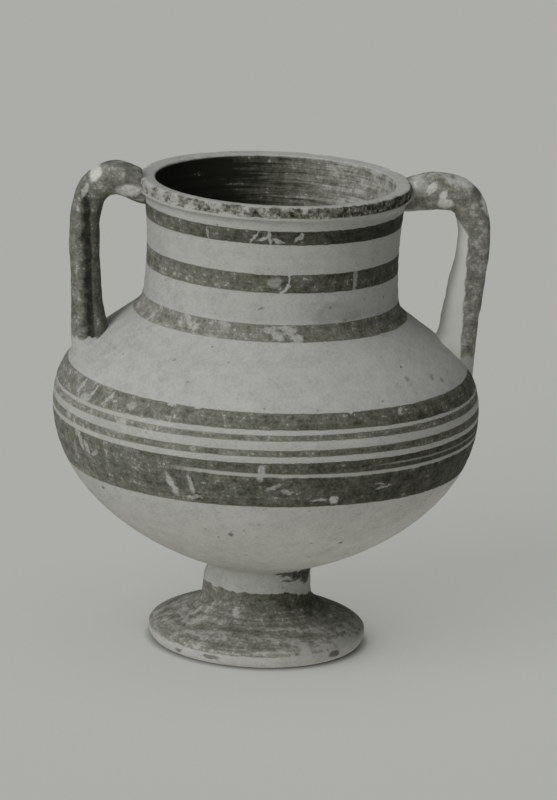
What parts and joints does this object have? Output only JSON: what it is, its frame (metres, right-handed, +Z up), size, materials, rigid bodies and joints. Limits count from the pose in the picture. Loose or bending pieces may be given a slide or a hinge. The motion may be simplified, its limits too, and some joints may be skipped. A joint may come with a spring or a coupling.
{
  "type": "amphoriskos",
  "caption": "Small two-handled clay jar with a waisted neck, rounded body and stemmed foot, painted with dark bands, for holding oil or wine.",
  "frame": {"origin": "on the standing face, under the middle of the jar's box; the wheel axis is parallel to Z and lies a little to the left of it, because the right handle reaches further out", "axes": "+Z up the wheel axis, +X from the left handle to the right handle, -Y towards the viewer"},
  "size_m": [0.1538, 0.1526, 0.1749],
  "materials": {
    "pale_clay": "matte",
    "dark_slip": "matte"
  },
  "bodies": {
    "root": {"foot": "dark_slip", "stem": "pale_clay", "stem_luting_coil": "pale_clay", "bowl": "pale_clay", "shoulder": "pale_clay", "neck_luting_coil": "pale_clay", "neck": "pale_clay", "rim": "dark_slip", "left_handle": "dark_slip", "right_handle": "dark_slip", "left_handle_upper_luting": "dark_slip", "right_handle_upper_luting": "dark_slip", "left_handle_lower_luting": "pale_clay", "right_handle_lower_luting": "pale_clay"}
  },
  "joints": []
}
